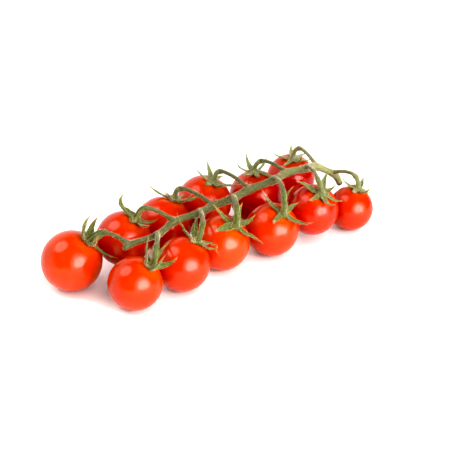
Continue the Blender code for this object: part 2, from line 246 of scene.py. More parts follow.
TRUSS = [
    Tomato((-80.5, 11.5), 30.0, 0.0, 39, -45, (-62.5, -13.0, 28.0), (-69.0, -0.5, 31.5),
           ((125, 58, 15, 4.4, 0.05, -0.1, -30), (60, 38, 14, 5.2, 0.0, 0.0, 0), (10, 30, 13, 2.6),
            (-60, 10, 16, 1.9), (-125, 52, 12, 4.4), (165, 50, 13, 4.4))),
    Tomato((-65.5, -22.5), 26.0, 0.0, 39, -48, (-46.0, -12.5, 28.0), (-56.0, -27.0, 30.5),
           ((95, 40, 15, 3.2), (170, 50, 13, 3.8), (40, 45, 15, 3.6, 0.0, -0.05, 0), (-135, 70, 14, 3.2),
            (-15, 40, 14, 4.2, 0.0, 0.0, 20))),
    Tomato((-51.2, 11.3), 28.0, 3.9, 31, -58, (-33.5, -8.0, 29.5), (-44.4, 0.6, 36.7),
           ((97, 11, 16, 4.8, 0.3, -0.16, 0), (125, 18, 11, 3.4), (35, 10, 13, 3.2), (-90, 35, 13, 3.0),
            (-155, 40, 12, 3.6), (-30, 20, 12, 3.0))),
    Tomato((-38.0, -21.5), 27.2, 0.0, 34, -18, (-17.5, -7.5, 29.5), (-25.5, -21.0, 31.0),
           ((125, 25, 17, 2.8), (-160, 15, 13, 3.0), (-62, 14, 11, 3.4, 0.0, 0.0, 20),
            (-7, 16, 13, 3.4, 0.1, -0.75, 15), (68, 30, 17, 5.8, 0.0, 0.0, 0))),
    Tomato((-22.9, 18.1), 29.9, 0.0, 24, -12, (-7.0, -4.0, 29.0), (-15.4, 12.9, 34.9),
           ((135, 10, 17, 2.8), (80, -5, 11, 3.4), (25, 10, 12, 3.4), (-30, 30, 16, 4.0),
            (-80, 35, 14, 4.0), (-150, 25, 13, 3.4))),
    Tomato((-10.1, -16.0), 28.8, 0.0, 34, -74, (5.5, -4.5, 30.0), (-5.5, -22.0, 35.0),
           ((180, 0, 14, 4.6), (122, 20, 16, 3.2), (0, 20, 13, 3.8), (-60, 10, 17, 3.6),
            (47, 22, 14, 5.2, 0.0, 0.0, 0))),
    Tomato((7.1, 23.5), 30.5, 1.5, 24, -67, (17.0, -3.5, 31.5), (10.5, 13.3, 37.9),
           ((85, 30, 14, 4.0), (140, 25, 14, 3.0), (20, 5, 11, 3.0), (-45, 20, 16, 3.4),
            (-105, 35, 12, 3.4), (-160, 25, 14, 3.2))),
    Tomato((20.0, -19.5), 28.4, 0.0, 33, -88, (32.5, -6.0, 34.0), (22.0, -25.5, 36.5),
           ((115, 15, 17, 3.4), (-160, 15, 14, 3.0, 0.0, 0.1, 0), (15, 15, 12, 4.2), (-55, 15, 17, 3.6),
            (55, 50, 16, 2.8))),
    Tomato((37.8, 16.0), 30.4, 0.0, 4, 152, (42.5, -3.5, 34.5), (38.0, 12.4, 37.4),
           ((80, 35, 14, 4.0), (135, 30, 13, 2.8), (-165, 20, 13, 3.2), (-115, 10, 12, 3.4),
            (-60, -5, 14, 3.2), (0, 35, 14, 2.6))),
    Tomato((48.2, -20.0), 27.7, 3.5, 30, -100, (56.5, -5.0, 34.5), (46.5, -24.5, 37.0),
           ((125, 10, 15, 3.8), (45, 30, 14, 4.4), (0, 20, 11, 3.4), (-50, -5, 12, 3.4),
            (-105, 25, 14, 3.2), (-170, 15, 12, 3.2))),
    Tomato((70.5, 24.0), 28.7, 0.5, 16, -121, (66.0, -2.0, 32.0), (68.0, 15.0, 37.0),
           ((60, 5, 13, 3.6), (140, 15, 14, 2.8), (0, 5, 11, 3.0), (-45, 10, 12, 3.0), (-95, 45, 13, 3.0),
            (-160, 15, 13, 3.0))),
    Tomato((74.0, -23.0), 24.8, 0.0, 14, -57, (77.5, -4.0, 25.5), (77.0, -22.0, 30.0),
           ((30, 12, 13, 5.0), (88, -5, 11, 2.8), (140, 30, 13, 2.8), (-160, 20, 12, 3.2),
            (-105, 35, 13, 3.2), (-35, -5, 9, 2.8))),
]
STEM_TIP = (-64.5, -14.0, 26.0)
CUT_END = ((80.0, -4.2, 23.0), (83.0, -4.5, 18.0))
# How ripe each tomato is, from 0 for orange to 1 for deep red.
RIPENESS = (0.1, 0.25, 0.4, 0.35, 0.5, 0.0, 0.4, 0.25, 0.75, 0.6, 0.8, 0.45)


def linear(hex_colour):
    """The linear colour of an sRGB hex value."""
    values = np.array([int(hex_colour[i:i + 2], 16) for i in (1, 3, 5)]) / 255
    low, high = values / 12.92, ((values + 0.055) / 1.055) ** 2.4
    return tuple(float(v) for v in np.where(values <= 0.04045, low, high))


def colour_property(name, description, default):
    """A colour that the panel shows, given as an sRGB hex value."""
    return FloatVectorProperty(name=name, description=description, default=linear(default),
                               subtype="COLOR", min=0.0, max=1.0)


def share_property(name, description, default):
    """A share from 0 to 1 that the panel shows."""
    return FloatProperty(name=name, description=description, default=default, min=0.0, max=1.0,
                         subtype="FACTOR")


class FruitSettings(PropertyGroup):
    """The tomatoes."""

    ripe: colour_property("Ripe", "Skin over most of the fruit", "#C04307")
    deep: colour_property("Deep", "Skin where the fruit is ripest", "#A81A03")
    shoulder: colour_property("Shoulder", "Skin round the calyx", "#CC5A0C")
    prick: colour_property("Pin pricks", "The pale dots in the skin", "#F3AE61")
    scar: colour_property("Scar", "The dry point at the blossom end", "#8A5A2C")
    unevenness: share_property("Unevenness", "How far the skin strays from round", 0.006)


class StemSettings(PropertyGroup):
    """The main stem and the stalks."""

    young: colour_property("Young green", "Stem near its tip", "#61633E")
    shade: colour_property("Streaks", "Darker streaks along the stem", "#474B2A")
    old: colour_property("Old green", "Stem near its cut end", "#96986C")
    cut: colour_property("Cut", "The dried cut face", "#5B4A2B")
    fuzz: colour_property("Fuzz", "The fine hairs", "#E6D8C2")
    fuzz_length: FloatProperty(name="Fuzz length", description="Length of a typical hair",
                               default=0.00055, min=0.0, unit="LENGTH", subtype="DISTANCE")
    fuzz_spacing: FloatProperty(name="Fuzz spacing", description="Distance from hair to hair",
                                default=0.00046, min=0.0002, unit="LENGTH", subtype="DISTANCE")


class CalyxSettings(PropertyGroup):
    """The sepals."""

    face: colour_property("Face", "Green of the sepals", "#5E6530")
    dark: colour_property("Dark", "Green between the veins", "#484F24")
    pale: colour_property("Pale", "Green of the calyxes nearest the cut end", "#B0B496")
    vein: colour_property("Veins", "Midrib and veins", "#7E8450")
    edge: colour_property("Edge", "The thin edges", "#9C9050")
    tip: colour_property("Tips", "The dry tips", "#A87848")
    thickness: FloatProperty(name="Thickness", description="Thickness of a sepal beside its midrib",
                             default=0.0004, min=0.0001, unit="LENGTH", subtype="DISTANCE")


class StageSettings(PropertyGroup):
    """The floor and the light."""

    floor: colour_property("Floor", "The surface that the truss lies on", "#F7F5F4")
    bright: FloatProperty(name="Bright side", description="Light from below and behind the truss",
                          default=1.3, min=0.0)
    dim: FloatProperty(name="Dim side", description="Light from above and in front of the truss",
                       default=0.12, min=0.0)
    key: FloatProperty(name="Key light", description="Brightness of the softbox in front",
                       default=6.3, min=0.0)
    top: FloatProperty(name="Top light", description="Brightness of the softbox overhead",
                       default=3.3, min=0.0)
    fill: FloatProperty(name="Fill light", default=2.0, min=0.0,
                        description="Brightness of the large softbox that makes the floor white")


class TrussSettings(PropertyGroup):
    """Everything that a user of the truss would change."""

    fruit: PointerProperty(type=FruitSettings)
    stem: PointerProperty(type=StemSettings)
    calyx: PointerProperty(type=CalyxSettings)
    stage: PointerProperty(type=StageSettings)


def unit(vectors):
    """Vectors at a length of one, along the last axis."""
    vectors = np.asarray(vectors, float)
    return vectors / np.linalg.norm(vectors, axis=-1, keepdims=True)


def along(shares, table):
    """Values at shares of the way along something, between the (share, value) pairs of a table."""
    return np.interp(shares, *zip(*table))


def hill(distance, width):
    """A bell curve: one where the distance is nought, and little past the width."""
    return np.exp(-((distance / width) ** 2))


def axis_of(tomato):
    """The direction from the tomato's centre to its calyx."""
    tilt, bearing = math.radians(tomato.tilt), math.radians(tomato.bearing)
    level = math.sin(tilt)
    return np.array([level * math.cos(bearing), level * math.sin(bearing), math.cos(tilt)])


def centre_of(tomato):
    """The tomato's centre: its radius above the surface, less the flat spot that it rests on."""
    gap = tomato.lift if tomato.lift > 0 else -FLAT_SPOT_DEPTH
    return np.array([*tomato.across, tomato.diameter / 2 + gap])


def hub_of(tomato):
    """The middle of the calyx's hub."""
    return centre_of(tomato) + axis_of(tomato) * tomato.diameter / 2 * HUB_SEAT


def side_axes(axis):
    """Two directions square to axis. The first is +X laid flat against it, and the second is square to
    both."""
    first = unit(np.array([1.0, 0, 0]) - axis[0] * axis)
    return first, np.cross(axis, first)


def smooth_path(points, step):
    """Points about a step apart on a Catmull-Rom curve through the given ones."""
    points = np.asarray(points, float)
    ends = np.vstack([2 * points[0] - points[1], points, 2 * points[-1] - points[-2]])
    out = []
    for a, b, c, d in zip(ends, ends[1:], ends[2:], ends[3:]):
        count = max(2, round(np.linalg.norm(c - b) / step))
        t = np.arange(count)[:, None] / count
        out.append(0.5 * (2 * b + (c - a) * t + (2 * a - 5 * b + 4 * c - d) * t**2
                          + (3 * b - a - 3 * c + d) * t**3))
    return np.vstack(out + [points[-1:]])


def bend(start, start_way, end, end_way, arch):
    """Points on a Hermite curve that leaves start along start_way and reaches end along end_way."""
    t = np.linspace(0, 1, ARCH_POINTS)[:, None]
    pull = arch * np.linalg.norm(end - start)
    return ((2 * t**3 - 3 * t**2 + 1) * start + (t**3 - 2 * t**2 + t) * pull * start_way
            + (3 * t**2 - 2 * t**3) * end + (t**3 - t**2) * pull * end_way)


def lengths_along(path):
    """How far along the path each of its points lies."""
    return np.concatenate([[0.0], np.cumsum(np.linalg.norm(np.diff(path, axis=0), axis=1))])


def frames_along(path, side):
    """The way along a path at each of its points, the direction square to that way that is nearest to
    side, and the one square to both. With the same side all along, they never flip."""
    ways = unit(np.gradient(path, axis=0))
    across = unit(side - ways * np.sum(side * ways, axis=-1, keepdims=True))
    return ways, across, np.cross(ways, across)


@dataclass
class Surface:
    """A closed surface: rings of points in mm between two end points.

    around holds the first texture coordinate of each column, one more than a ring has points, and
    lengths the second one of each ring. marks is a number per ring that a material may read.
    """

    rings: np.ndarray
    ends: list
    around: np.ndarray
    lengths: np.ndarray
    marks: np.ndarray


def surface_arrays(surface):
    """Vertices, marks, faces and face corners' texture coordinates of one surface. Quads join ring to
    ring, and a fan of triangles closes each end."""
    rings, columns = surface.rings.shape[:2]
    index = np.arange(rings * columns).reshape(rings, columns)
    after = np.roll(index, -1, axis=1)
    quads = np.stack([index[:-1], after[:-1], after[1:], index[1:]], axis=-1).reshape(-1, 4)
    first, last = rings * columns, rings * columns + 1
    fans = np.concatenate([
        np.stack([np.full(columns, first), after[0], index[0]], axis=-1),
        np.stack([np.full(columns, last), index[-1], after[-1]], axis=-1)])
    left, right = surface.around[:-1], surface.around[1:]
    low, high = surface.lengths[:-1, None], surface.lengths[1:, None]
    shape = (rings - 1, columns)
    corners = [(left, low), (right, low), (right, high), (left, high)]
    quad_uv = np.stack([np.stack([np.broadcast_to(u, shape), np.broadcast_to(v, shape)], axis=-1)
                        for u, v in corners], axis=2).reshape(-1, 2)
    middle = (left + right) / 2
    start, stop = (np.full(columns, surface.lengths[i]) for i in (0, -1))
    fan_uv = np.concatenate([
        np.stack([np.stack(pair, axis=-1) for pair in ((middle, start), (right, start), (left, start))], 1),
        np.stack([np.stack(pair, axis=-1) for pair in ((middle, stop), (left, stop), (right, stop))], 1),
    ]).reshape(-1, 2)
    points = np.concatenate([surface.rings.reshape(-1, 3), np.array(surface.ends, float)])
    marks = np.concatenate([np.repeat(surface.marks, columns), surface.marks[[0, -1]]])
    return points, marks, quads, fans, quad_uv, fan_uv


def to_frame(points):
    """Layout mm to the frame's metres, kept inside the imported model's box."""
    placed = (np.asarray(points) - LAYOUT_CENTRE) * MM
    return np.clip(placed, CAD_BOX[0], CAD_BOX[1])


def add_piece(name, mesh, finish, stands_for=()):
    """Links a finished mesh as a smooth-shaded piece that rides on the truss."""
    mesh.materials.append(finish)
    mesh.shade_smooth()
    mesh.validate()
    piece = bpy.data.objects.new(name, mesh)
    bpy.context.scene.collection.objects.link(piece)
    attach(piece, "root")
    if stands_for:
        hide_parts(*stands_for)


def surfaces_mesh(name, surfaces):
    """One mesh of several closed surfaces, with their texture coordinates and marks."""
    arrays = [surface_arrays(s) for s in surfaces]
    starts = np.concatenate([[0], np.cumsum([len(a[0]) for a in arrays])])
    faces = []
    corners = []
    for start, (_, _, quads, fans, quad_uv, fan_uv) in zip(starts, arrays):
        faces += (quads + start).tolist() + (fans + start).tolist()
        corners += [quad_uv, fan_uv]
    mesh = bpy.data.meshes.new(name)
    mesh.from_pydata(to_frame(np.concatenate([a[0] for a in arrays])), [], faces)
    layer = mesh.uv_layers.new(name="Surface")
    layer.data.foreach_set("uv", np.concatenate(corners).astype(np.float32).ravel())
    marks = mesh.attributes.new("mark", "FLOAT", "POINT")
    marks.data.foreach_set("value", np.concatenate([a[1] for a in arrays]).astype(np.float32))
    return mesh


def wander(shares, draw):
    """A smooth wavy line about nought: four sines of growing pace and falling height."""
    total = np.zeros_like(shares)
    for pace in (1, 2, 3, 4):
        total += np.sin(2 * math.pi * pace * shares + draw.uniform(0, 2 * math.pi)) / pace
    return total / 2


def fruit_surface(tomato, ripeness, unevenness, draw):
    """A sphere with a bell-shaped dimple at the stem end, five faint puckers round the dimple and
    three slow swellings, pressed flat where it rests."""
    axis = axis_of(tomato)
    first, second = side_axes(axis)
    polar = np.linspace(math.pi, 0, FRUIT_RINGS + 2)[1:-1, None]
    turn = np.arange(FRUIT_TURNS) / FRUIT_TURNS * 2 * math.pi
    phase = draw.uniform(0, 2 * math.pi, 4)
    slow = (np.cos(2 * turn + phase[0]) * np.sin(polar) ** 2
            + np.cos(turn + phase[1]) * np.sin(2 * polar)
            + np.cos(3 * turn + phase[2]) * np.sin(polar) ** 3) / 2
    degrees = np.degrees(polar)
    puckers = np.cos(PUCKERS * turn + phase[3]) * hill(degrees - PUCKER_ANGLE, PUCKER_SPREAD)
    dimple = DIMPLE_DEPTH * hill(degrees, DIMPLE_ANGLE)
    size = tomato.diameter / 2 * (1 - dimple + unevenness * (slow - 1)
                                  + PUCKER_DEPTH * unevenness * puckers)
    level = size * np.sin(polar)
    rings = (centre_of(tomato) + level[..., None] * np.cos(turn)[:, None] * first
             + level[..., None] * np.sin(turn)[:, None] * second
             + (size * np.cos(polar))[..., None] * axis)
    ends = [centre_of(tomato) + axis * size.mean(axis=1)[i] * way for i, way in ((0, -1), (-1, 1))]
    rings[..., 2] = np.maximum(rings[..., 2], 0)
    return Surface(rings, ends, np.arange(FRUIT_TURNS + 1) / FRUIT_TURNS, 1 - polar[:, 0] / math.pi,
                   np.full(FRUIT_RINGS, ripeness))


def tube_surface(path, radii, turns, marks, ridge, draw):
    """A ring round each point of a path. Its radius follows radii, and faint ridges run along it and
    wander a little round it. Its side keeps close to the normal of the plane that the path lies
    nearest to."""
    flat = np.linalg.svd(path - path.mean(axis=0))[2][-1]
    _, sides, ups = frames_along(path, flat)
    turn = np.arange(turns) / turns * 2 * math.pi
    lengths = lengths_along(path)
    relief = np.ones((len(path), turns))
    for count, wandering in RIDGES:
        phase = wandering * wander(lengths / lengths[-1], draw)
        relief += ridge * np.cos(count * turn + phase[:, None])
    size = radii[:, None] * relief
    rings = (path[:, None] + size[..., None] * (np.cos(turn)[:, None] * sides[:, None]
                                               + np.sin(turn)[:, None] * ups[:, None]))
    return Surface(rings, [path[0], path[-1]], np.arange(turns + 1) / turns, lengths / TEXTURE_LENGTH,
                   marks)


def rounded(radii, from_end):
    """Radii that close like a ball over the length of a rounded end. from_end is how far from that end
    each of them stands."""
    shares = np.clip(from_end / ROUNDED_END, FIRST_RING, 1)
    return radii * np.sqrt(1 - (1 - shares) ** 2)


def ringed(path):
    """The places of a stalk's rings: points of its path that lie closer together near both ends."""
    t = np.linspace(-1, 1, STALK_RINGS)
    shares = 0.5 + 0.5 * np.sign(t) * (1 - (1 - np.abs(t)) ** END_FINENESS)
    lengths = lengths_along(path)
    return np.column_stack([np.interp(shares * lengths[-1], lengths, path[:, i]) for i in range(3)])


def knuckle_way(tomato):
    """The direction in which the stalk passes its knuckle, halfway through its bend."""
    knuckle = np.array(tomato.knuckle)
    return unit(unit(knuckle - np.array(tomato.node)) + unit(hub_of(tomato) - knuckle))


def near_path(tomato):
    """The stalk's path from inside the main stem to just past the middle of the knuckle."""
    node, knuckle = np.array(tomato.node), np.array(tomato.knuckle)
    way = knuckle_way(tomato)
    leaving = unit(unit(knuckle - node) + np.array([0, 0, LEAVING_RISE]))
    end = knuckle + way * KNUCKLE_OVERLAP / 2
    curve = bend(node, leaving, end - way * COLLAR, way, NEAR_ARCH)
    return ringed(np.vstack([curve, end]))


def far_path(tomato):
    """The stalk's path from just before the middle of the knuckle down into the calyx's hub."""
    way, axis = knuckle_way(tomato), axis_of(tomato)
    start, end = np.array(tomato.knuckle) - way * KNUCKLE_OVERLAP / 2, hub_of(tomato)
    curve = bend(start + way * COLLAR, way, end + axis * COLLAR, -axis, FAR_ARCH)
    return ringed(np.vstack([start, curve, end]))


def stem_surfaces(draw):
    """The main stem: a tube that swells at each node, and for each tomato a stalk that flares from it
    and swells again at its knuckle."""
    path = smooth_path([STEM_TIP, *(t.node for t in TRUSS), *CUT_END], STEM_STEP)
    lengths = lengths_along(path)
    share = lengths / lengths[-1]
    nodes = np.array([t.node for t in TRUSS])
    nearest = np.linalg.norm(path[:, None] - nodes, axis=2)
    radii = along(share, STEM_RADII) + NODE_SWELLING * hill(nearest.min(axis=1), NODE_LENGTH)
    radii = rounded(radii * (1 + STEM_BULGE * wander(share * STEM_BULGES, draw)), lengths)
    surfaces = [tube_surface(path, radii, STEM_TURNS, share, STEM_RIDGE, draw)]
    for tomato, at_node in zip(TRUSS, nearest.argmin(axis=0)):
        path = near_path(tomato)
        lengths = lengths_along(path)
        from_knuckle = lengths[-1] - lengths
        radii = (STALK_RADIUS + STALK_FLARE * hill(lengths, STALK_FLARE_LENGTH)
                 + KNUCKLE_SWELLING * hill(from_knuckle, KNUCKLE_LENGTH))
        marks = np.full(STALK_RINGS, share[at_node] * STALK_AGE)
        surfaces.append(tube_surface(path, rounded(radii, from_knuckle), STALK_TURNS, marks,
                                     STALK_RIDGE, draw))
    return surfaces


def neck_surface(tomato, draw):
    """The stalk from its knuckle into the hub: thick at the knuckle, slimmer, then a wide foot."""
    path = far_path(tomato)
    lengths = lengths_along(path)
    radii = (NECK_RADIUS + NECK_KNUCKLE_SWELLING * hill(lengths, KNUCKLE_LENGTH)
             + FOOT_SWELLING * hill(lengths[-1] - lengths, FOOT_LENGTH))
    marks = np.full(STALK_RINGS, NECK_DRYNESS)
    return tube_surface(path, rounded(radii, lengths), STALK_TURNS, marks, STALK_RIDGE, draw)


def hub_surface(tomato):
    """A low dome in the dimple. Its rim reaches out under each sepal."""
    axis = axis_of(tomato)
    first, second = side_axes(axis)
    turn = np.arange(HUB_TURNS) / HUB_TURNS * 2 * math.pi
    reach = np.full(HUB_TURNS, HUB_RIM)
    for sepal in tomato.sepals:
        apart = (turn - math.radians(sepal[0]) + math.pi) % (2 * math.pi) - math.pi
        reach = np.maximum(reach, HUB_RIM + HUB_LOBE * hill(apart, HUB_LOBE_SPREAD))
    out, height = np.array(HUB_PROFILE).T[..., None]
    level = HUB_RADIUS * out * np.where(out > HUB_CORE, reach, 1)
    middle = hub_of(tomato)
    rings = (middle + level[..., None] * (np.cos(turn)[:, None] * first + np.sin(turn)[:, None] * second)
             + (HUB_HEIGHT * height)[..., None] * axis)
    ends = [middle + axis * HUB_HEIGHT * end for end in (HUB_PROFILE[0][1], HUB_TOP)]
    return Surface(rings, ends, np.arange(HUB_TURNS + 1) / HUB_TURNS,
                   np.linspace(0, HUB_GREEN, len(HUB_PROFILE)), np.zeros(len(HUB_PROFILE)))


def over_skins(line):
    """A sepal's middle line, its points moved straight out of any tomato that they come too close to.
    The first ones stay in the hub."""
    points = line
    for tomato in TRUSS:
        centre = centre_of(tomato)
        away = points - centre
        distance = np.linalg.norm(away, axis=-1, keepdims=True)
        points = centre + away * np.maximum(1, (tomato.diameter / 2 + ROOM_OVER_SKIN) / distance)
    return np.where(np.linspace(0, 1, len(line))[:, None] < IN_HUB, line, points)


def sepal_line(tomato, turn, lift, length):
    """A sepal's middle line: a quadratic curve from the hub, out over the skin and up to its tip."""
    axis = axis_of(tomato)
    first, second = side_axes(axis)
    turn = math.radians(turn)
    outward = first * math.cos(turn) + second * math.sin(turn)

    def reach(angle, distance):
        angle = math.radians(angle)
        return hub_of(tomato) + distance * (outward * math.cos(angle) + axis * math.sin(angle))

    t = np.linspace(0, 1, BLADE_RINGS)[:, None]
    root, tip = reach(SEPAL_ROOT_LIFT, SEPAL_ROOT), reach(lift, length)
    bow = reach(SEPAL_START + SEPAL_RISE * lift, length * SEPAL_BOW)
    return over_skins((1 - t) ** 2 * root + 2 * t * (1 - t) * bow + t**2 * tip)


def sepal_frames(tomato, sepal, width, draw):
    """A sepal's middle line, with its way, side and upper side at each point. The line sways to a side
    in the middle and curls at the tip, and the blade twists about it, most of all near the tip."""
    turn, lift, length, _, *known = sepal
    line = sepal_line(tomato, turn, lift, length)
    first, second = side_axes(axis_of(tomato))
    side = second * math.cos(math.radians(turn)) - first * math.sin(math.radians(turn))
    _, across, up = frames_along(line, side)
    sway, curl_side, curl_up = draw.uniform(LEAST_BENDS, MOST_BENDS)
    twist = draw.uniform(-MOST_TWIST, MOST_TWIST) * min(1, SLIM_SEPAL / width) ** 2
    if known:
        sway, curl_side, twist = known
    t = np.linspace(0, 1, BLADE_RINGS)[:, None]
    curl = np.clip((t - CURL_START) / (1 - CURL_START), 0, 1) ** 2
    aside = sway * np.sin(math.pi * t) * t + curl_side * curl
    line = over_skins(line + length * (aside * across + curl_up * curl * up))
    ways, across, up = frames_along(line, across)
    twisted = math.radians(twist) * t**TWIST_POWER
    cos, sin = np.cos(twisted), np.sin(twisted)
    return line, ways, across * cos + up * sin, up * cos - across * sin


def sepal_section(width, thickness, draw):
    """Where each column of a sepal stands from -1 at one edge to 1 at the other, and how far each point
    of each ring is to the side of the middle line and above it.

    The half width follows a table. Each cross-section is an arc that rolls up more towards the tip. It
    ripples at its edges, is thickest in the middle, and has a rib below and a groove above."""
    t = np.linspace(0, 1, BLADE_RINGS)
    half = width / 2 * along(t, SEPAL_WIDTHS)
    half = np.convolve(np.pad(half, 2, mode="edge"), np.full(5, 1 / 5), mode="valid")
    half[-2:] = width / 2 * np.array(SEPAL_TIP_WIDTHS)
    roll = draw.uniform(*ROLLS_AT_ROOT) + draw.uniform(*ROLLS_ADDED) * t**2
    t, half, roll = t[:, None], half[:, None], roll[:, None]
    edge = np.linspace(1, -1, BLADE_COLUMNS)
    loop = np.concatenate([edge, edge[-2:0:-1]])
    face = np.concatenate([[0], np.ones(BLADE_COLUMNS - 2), [0], -np.ones(BLADE_COLUMNS - 2)])
    waves = wander(t * RIPPLE_PACE, draw) * (loop > 0) + wander(t * RIPPLE_PACE, draw) * (loop < 0)
    ripple = RIPPLE * width * waves * loop**2 * t * (1 - t)
    body = thickness * (1 - EDGE_THINNING * loop**2) * np.minimum(1, THICKENING * half)
    rib = RIB_HEIGHT * hill(loop, RIB_SPREAD) * (1 - RIB_FADING * t) * (face < 0)
    groove = GROOVE_DEPTH * hill(loop, RIB_SPREAD) * (1 - t) * (face > 0)
    aside = half * np.sin(roll * loop) / roll
    rise = half * (1 - np.cos(roll * loop)) / roll + ripple + face * (body / 2 + rib - groove)
    return loop, aside, rise


def sepal_surface(tomato, sepal, thickness, draw):
    """A long blade: its cross-sections stand square to its middle line."""
    width = sepal[3] * draw.uniform(*SEPAL_BREADTHS)
    line, ways, across, up = sepal_frames(tomato, sepal, width, draw)
    loop, aside, rise = sepal_section(width, thickness, draw)
    rings = line[:, None] + aside[..., None] * across[:, None] + rise[..., None] * up[:, None]
    dryness = np.full(BLADE_RINGS, draw.uniform(0, 1))
    return Surface(rings, [line[0], line[-1] + ways[-1] * SEPAL_POINT],
                   np.concatenate([loop, loop[:1]]) / 2 + 0.5, np.linspace(0, 1, BLADE_RINGS), dryness)


def scattered(mesh, spacing, draw):
    """Places and normals spread over a mesh at random, by area, about a spacing apart, in metres."""
    mesh.calc_loop_triangles()
    corners = np.empty(len(mesh.loop_triangles) * 3, np.int32)
    mesh.loop_triangles.foreach_get("vertices", corners)
    points = np.empty(len(mesh.vertices) * 3, np.float32)
    mesh.vertices.foreach_get("co", points)
    a, b, c = np.moveaxis(points.reshape(-1, 3)[corners.reshape(-1, 3)], 1, 0).astype(float)
    normal = np.cross(b - a, c - a)
    area = np.linalg.norm(normal, axis=1) / 2
    count = int(area.sum() / spacing**2)
    pick = draw.choice(len(area), count, p=area / area.sum())
    u, v = draw.random((2, count, 1))
    flip = u + v > 1
    u, v = np.where(flip, 1 - u, u), np.where(flip, 1 - v, v)
    places = a[pick] + (b - a)[pick] * u + (c - a)[pick] * v
    return places, normal[pick] / (2 * area[pick, None])


def fuzz_mesh(name, places, normals, length, draw):
    """A long thin tetrahedron at each place, leaning a little from the normal."""
    count = len(places)
    lean = unit(normals + draw.normal(0, HAIR_LEAN, (count, 3)))
    long = length * draw.lognormal(0, HAIR_SPREAD, (count, 1))
    side = unit(np.cross(lean, draw.normal(0, 1, (count, 3))))
    other = np.cross(lean, side)
    thick = HAIR_RADIUS * MM
    root = places - lean * thick
    turns = np.arange(3) * 2 * math.pi / 3
    base = [root + thick * (math.cos(t) * side + math.sin(t) * other) for t in turns]
    points = np.stack([*base, places + lean * long], axis=1).reshape(-1, 3)
    points = np.clip(points, CAD_BOX[0], CAD_BOX[1])
    faces = np.array([(0, 2, 1), (0, 1, 3), (1, 2, 3), (2, 0, 3)])
    mesh = bpy.data.meshes.new(name)
    mesh.from_pydata(points, [], (faces + 4 * np.arange(count)[:, None, None]).reshape(-1, 3).tolist())
    return mesh


def set_inputs(node, inputs):
    """Links or sets a node's inputs."""
    for key, value in inputs.items():
        if isinstance(value, bpy.types.NodeSocket):
            node.id_data.links.new(value, node.inputs[key])
        else:
            node.inputs[key].default_value = value


def add_node(tree, kind, inputs=None, **options):
    """Adds a node with its options, and links or sets its inputs.

    A number names an input by its place. In a Map Range node 1 and 2 are the range that comes in and 3
    and 4 the one that goes out, and in a Mix node 0 is the share of the second colour, 7, over 6."""
    made = tree.nodes.new(kind)
    for name, value in options.items():
        setattr(made, name, value)
    set_inputs(made, inputs or {})
    return made


def new_material(name, inputs):
    """A material with its node tree and its Principled shader, which has the given inputs."""
    made = bpy.data.materials.new(name)
    made.use_nodes = True
    shader = made.node_tree.nodes["Principled BSDF"]
    set_inputs(shader, inputs)
    return made, made.node_tree, shader


def rgba(colour):
    """A colour with full alpha."""
    return (*colour, 1.0)


def scale_for(size):
    """The scale that gives a pattern's features this size in mm."""
    return 1 / (size * MM)


def ripe_tomato_skin(settings):
    """Ripe tomato skin: a clear waxy cuticle over soft red flesh, so it is glossy with light sunk below.

    It has slow patches of deeper red, a more orange shoulder with streaks, pale pin pricks about 0.2 mm
    wide and a dry point at the blossom end."""
    made, tree, shader = new_material("ripe_tomato_skin", {
        "IOR": 1.5, "Subsurface Weight": 0.3, "Subsurface Radius": (1.0, 0.2, 0.08),
        "Subsurface Scale": 0.003})
    place = add_node(tree, "ShaderNodeTexCoord").outputs["Object"]
    grid = add_node(tree, "ShaderNodeUVMap", uv_map="Surface").outputs[0]
    polar = add_node(tree, "ShaderNodeSeparateXYZ", {0: grid}).outputs["Y"]
    patches = add_node(tree, "ShaderNodeTexNoise", {
        "Vector": place, "Scale": scale_for(RED_PATCH), "Detail": 1.0})
    ripeness = add_node(tree, "ShaderNodeAttribute", attribute_name="mark").outputs["Fac"]
    ripened = add_node(tree, "ShaderNodeMath", {0: patches.outputs[0], 1: 0.6, 2: ripeness},
                       operation="MULTIPLY_ADD")
    deep = add_node(tree, "ShaderNodeMapRange", {0: ripened.outputs[0], 1: 0.3, 2: 1.2})
    streaks = add_node(tree, "ShaderNodeTexNoise", {
        "Vector": place, "Scale": scale_for(SHOULDER_STREAK), "Detail": 2.0})
    # The shoulder fades in from about 35 to 10 degrees from the stem end.
    near = add_node(tree, "ShaderNodeMath", {0: streaks.outputs[0], 1: 0.1, 2: polar},
                    operation="MULTIPLY_ADD")
    shoulder = add_node(tree, "ShaderNodeMapRange", {0: near.outputs[0], 1: 0.86, 2: 1.0})
    cells = add_node(tree, "ShaderNodeTexVoronoi", {"Vector": place, "Scale": scale_for(PRICK_SPACING)})
    prick = add_node(tree, "ShaderNodeMapRange", {0: cells.outputs["Distance"], 1: 0.14, 2: 0.05, 4: 0.22})
    # The dry point fades out from about 3 to 5 degrees from the blossom end.
    scar = add_node(tree, "ShaderNodeMapRange", {0: polar, 1: 0.026, 2: 0.016})
    colour = rgba(settings.ripe)
    for share, over in ((deep, settings.deep), (shoulder, settings.shoulder), (prick, settings.prick),
                        (scar, settings.scar)):
        colour = add_node(tree, "ShaderNodeMix", {0: share.outputs[0], 6: colour, 7: rgba(over)},
                          data_type="RGBA").outputs[2]
    wax = add_node(tree, "ShaderNodeTexNoise", {
        "Vector": place, "Scale": scale_for(WAX_PATCH), "Detail": 2.0})
    gloss = add_node(tree, "ShaderNodeMapRange", {0: wax.outputs[0], 1: 0.3, 2: 0.7, 3: 0.14, 4: 0.21})
    bump = add_node(tree, "ShaderNodeBump", {
        "Strength": 0.1, "Distance": 0.00015, "Height": wax.outputs[0]})
    set_inputs(shader, {"Base Color": colour, "Roughness": gloss.outputs[0], "Normal": bump.outputs[0]})
    return made


